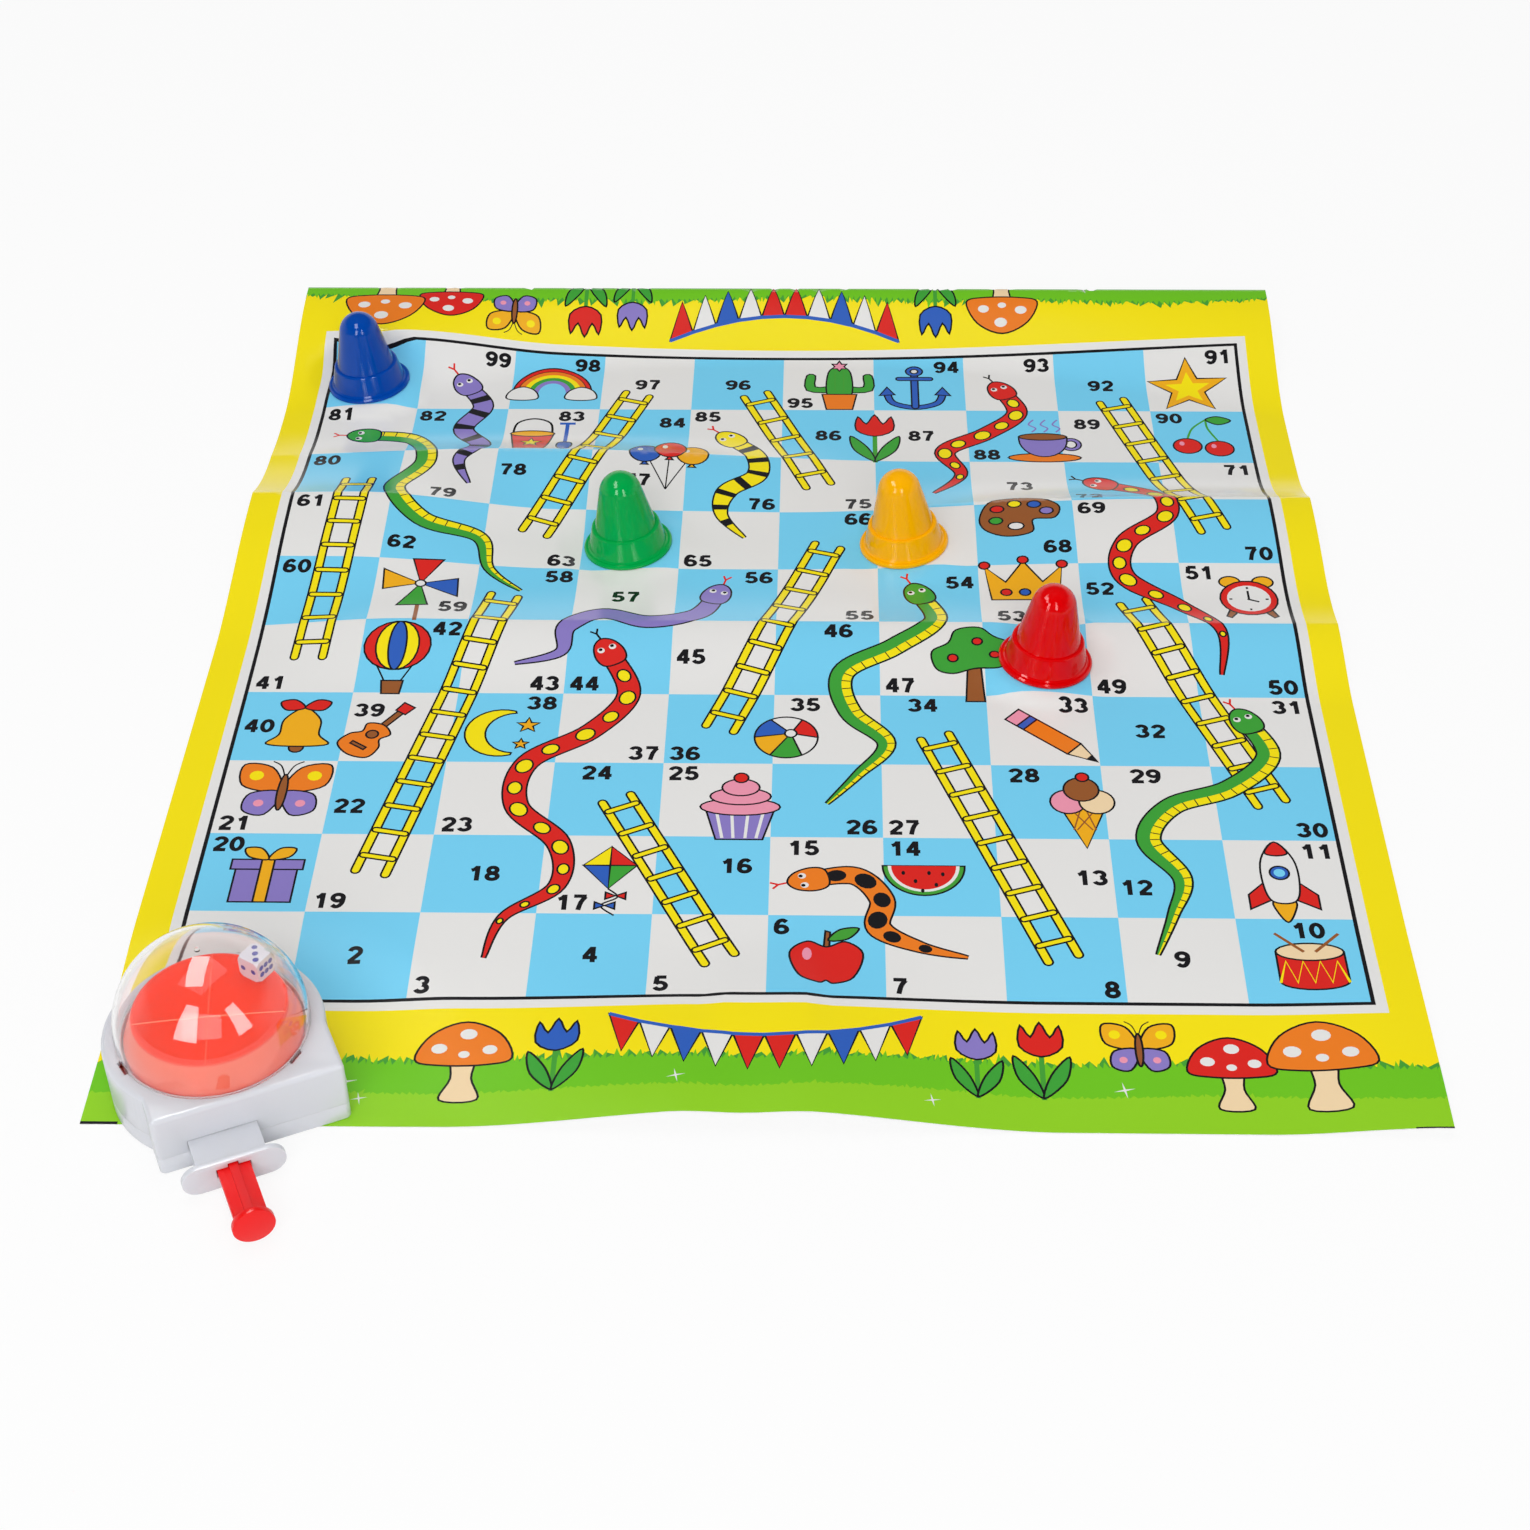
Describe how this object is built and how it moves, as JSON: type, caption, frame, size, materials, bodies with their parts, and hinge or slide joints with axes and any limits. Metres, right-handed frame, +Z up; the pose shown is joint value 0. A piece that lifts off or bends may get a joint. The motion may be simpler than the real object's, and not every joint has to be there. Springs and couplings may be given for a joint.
{
  "type": "snakes and ladders game set",
  "caption": "Printed film game mat with a numbered square grid, ladders and snakes, coloured cone pawns, and a plunger dice popper with a clear dome.",
  "frame": {"origin": "on the table under the middle of the whole set's bounding box", "axes": "+Z up from the table, +Y from the player's edge with the popper to the far edge of the mat, +X to the right"},
  "size_m": [0.435, 0.5614, 0.0585],
  "materials": {
    "printed_film": "printed glossy film",
    "blue_plastic": "glossy moulded",
    "green_plastic": "glossy moulded",
    "yellow_plastic": "glossy moulded",
    "red_plastic": "glossy moulded",
    "white_plastic": "milky satin moulded",
    "clear_plastic": "clear polished moulded",
    "orange_plastic": "translucent moulded",
    "die_plastic": "white with blue pips",
    "plunger_plastic": "satin moulded",
    "steel": "zinc plated"
  },
  "bodies": {
    "mat": {"play_mat": "printed_film"},
    "blue_pawn": {"pawn_blue": "blue_plastic"},
    "green_pawn": {"pawn_green": "green_plastic"},
    "yellow_pawn": {"pawn_yellow": "yellow_plastic"},
    "red_pawn": {"pawn_red": "red_plastic"},
    "popper": {"popper_lower_shell": "white_plastic", "popper_upper_shell": "white_plastic", "popper_screws": "steel", "popper_dome": "clear_plastic", "plunger_spring": "steel"},
    "kicker": {"popper_kicker": "orange_plastic"},
    "die": {"popper_die": "die_plastic"},
    "plunger": {"popper_plunger": "plunger_plastic"}
  },
  "joints": [
    {"name": "blue_pawn_lift", "type": "slide", "parent": "mat", "child": "blue_pawn", "axis": [0, 0, 1], "range_m": [0, 0.08]},
    {"name": "green_pawn_lift", "type": "slide", "parent": "mat", "child": "green_pawn", "axis": [0, 0, 1], "range_m": [0, 0.08]},
    {"name": "yellow_pawn_lift", "type": "slide", "parent": "mat", "child": "yellow_pawn", "axis": [0, 0, 1], "range_m": [0, 0.08]},
    {"name": "red_pawn_lift", "type": "slide", "parent": "mat", "child": "red_pawn", "axis": [0, 0, 1], "range_m": [0, 0.08]},
    {"name": "popper_lift", "type": "slide", "parent": "mat", "child": "popper", "axis": [0, 0, 1], "range_m": [0, 0.08]},
    {"name": "plunger_push", "type": "slide", "parent": "popper", "child": "plunger", "axis": [-0.4067, 0.9135, 0], "range_m": [0, 0.016], "stiffness_N_per_m": 150, "springref_m": -0.008, "deforming": ["plunger_spring"]},
    {"name": "kicker_rise", "type": "slide", "parent": "popper", "child": "kicker", "axis": [0, 0, 1], "range_m": [0, 0.002]},
    {"name": "die_hop", "type": "slide", "parent": "kicker", "child": "die", "axis": [-0.5301, -0.5992, 0.6], "range_m": [0, 0.012]}
  ],
  "couplings": [
    {"joint": "kicker_rise", "follows": "plunger_push", "ratio": 0.125}
  ]
}
